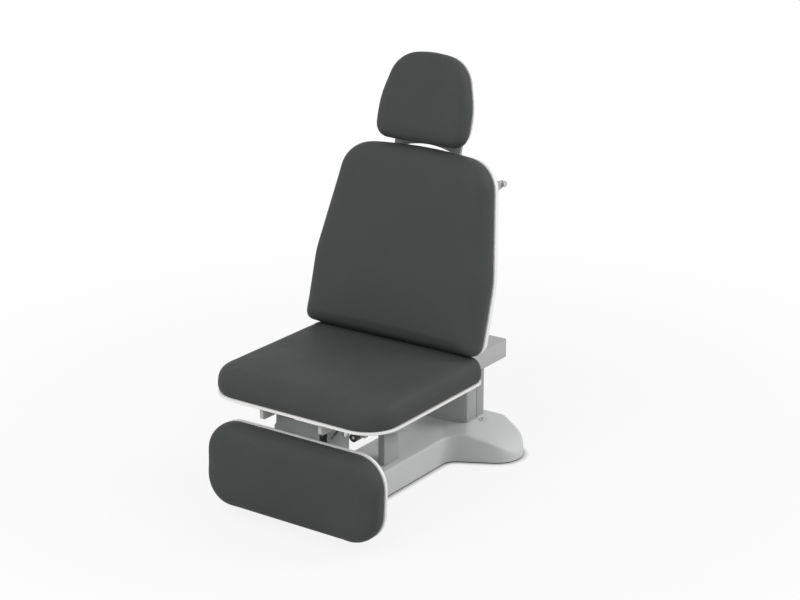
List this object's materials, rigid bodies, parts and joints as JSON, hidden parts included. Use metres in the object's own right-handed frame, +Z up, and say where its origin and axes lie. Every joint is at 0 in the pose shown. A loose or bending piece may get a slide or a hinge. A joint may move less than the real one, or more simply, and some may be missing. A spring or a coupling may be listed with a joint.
{
  "type": "procedure chair",
  "caption": "Powered procedure chair: swept base, telescoping rear column, padded seat, reclining back, swinging foot section and height-adjustable tilting headrest.",
  "frame": {"origin": "on the floor under the centre of the lift column, on the chair's plane of symmetry", "axes": "+X to the patient's left, -Y the way the chair faces, +Z up; the chair stands on the plane Z = 0"},
  "size_m": [0.622, 1.038, 1.2827],
  "materials": {
    "vinyl": "satin",
    "shell_plastic": "satin",
    "cover_plastic": "satin",
    "black_plastic": "satin",
    "light_paint": "satin",
    "grey_paint": "satin",
    "column_paint": "satin",
    "steel": "brushed",
    "rubber": "matt"
  },
  "bodies": {
    "base": {"floor_pad": "rubber", "base_plate": "grey_paint", "base_cover": "cover_plastic", "cover_plugs": "black_plastic", "power_inlet": "black_plastic", "rest_post": "light_paint", "post_cap": "rubber", "column_outer": "column_paint", "outer_glides": "shell_plastic", "lift_motor": "black_plastic", "lift_tube": "steel"},
    "column_mid": {"column_middle": "column_paint", "middle_glides": "shell_plastic", "lift_sleeve": "steel"},
    "carriage": {"column_inner": "column_paint", "lift_rod": "steel", "chassis": "grey_paint", "chassis_hood": "light_paint", "chassis_bolts": "steel", "landing_block": "light_paint", "seat_frame": "light_paint", "seat_pan": "shell_plastic", "seat_cushion": "vinyl", "foot_pin": "steel", "back_pin": "steel", "foot_actuator": "black_plastic", "back_actuator": "black_plastic", "socket_bracket": "light_paint", "control_socket": "black_plastic"},
    "foot_section": {"foot_carrier": "grey_paint", "foot_crank_pin": "steel", "foot_shell": "shell_plastic", "foot_screws": "steel", "foot_cushion": "vinyl"},
    "foot_slider": {"foot_rod": "steel", "foot_rod_head": "black_plastic"},
    "back_section": {"back_frame": "grey_paint", "back_crank_pin": "steel", "back_shell": "shell_plastic", "back_screws": "steel", "back_cushion": "vinyl", "head_guides": "black_plastic", "roll_brackets": "light_paint"},
    "roll_bar": {"roll_rod": "steel"},
    "back_slider": {"back_rod": "steel", "back_rod_head": "black_plastic"},
    "head_post": {"head_yoke": "grey_paint", "head_pin": "steel"},
    "head_section": {"head_hinge": "grey_paint", "head_shell": "shell_plastic", "head_cushion": "vinyl"}
  },
  "joints": [
    {"name": "lift_lower", "type": "slide", "parent": "base", "child": "column_mid", "axis": [0, 0, 1], "range_m": [0, 0.15]},
    {"name": "lift_upper", "type": "slide", "parent": "column_mid", "child": "carriage", "axis": [0, 0, 1], "range_m": [0, 0.15]},
    {"name": "foot_swing", "type": "hinge", "parent": "carriage", "child": "foot_section", "pos_m": [0, -0.765, 0.357], "axis": [-1, 0, 0], "range_deg": [0, 87]},
    {"name": "foot_drive", "type": "slide", "parent": "carriage", "child": "foot_slider", "axis": [0, -1, 0], "range_m": [0, 0.13]},
    {"name": "back_recline", "type": "hinge", "parent": "carriage", "child": "back_section", "pos_m": [0, -0.285, 0.378], "axis": [-1, 0, 0], "range_deg": [0, 74]},
    {"name": "back_drive", "type": "slide", "parent": "carriage", "child": "back_slider", "axis": [0, -1, 0], "range_m": [0, 0.091]},
    {"name": "roll_spin", "type": "hinge", "parent": "back_section", "child": "roll_bar", "pos_m": [0, -0.09668, 0.91601], "axis": [1, 0, 0], "continuous": true},
    {"name": "head_height", "type": "slide", "parent": "back_section", "child": "head_post", "axis": [0, 0.2706, 0.9627], "range_m": [0, 0.12]},
    {"name": "head_tilt", "type": "hinge", "parent": "head_post", "child": "head_section", "pos_m": [0, -0.1225, 1.02923], "axis": [-1, 0, 0], "range_deg": [-5, 35]}
  ],
  "couplings": [
    {"joint": "lift_lower", "follows": "lift_upper", "ratio": 1},
    {"joint": "foot_drive", "follows": "foot_swing", "m_per_rad": 0.085226},
    {"joint": "back_drive", "follows": "back_recline", "m_per_rad": 0.069895}
  ]
}
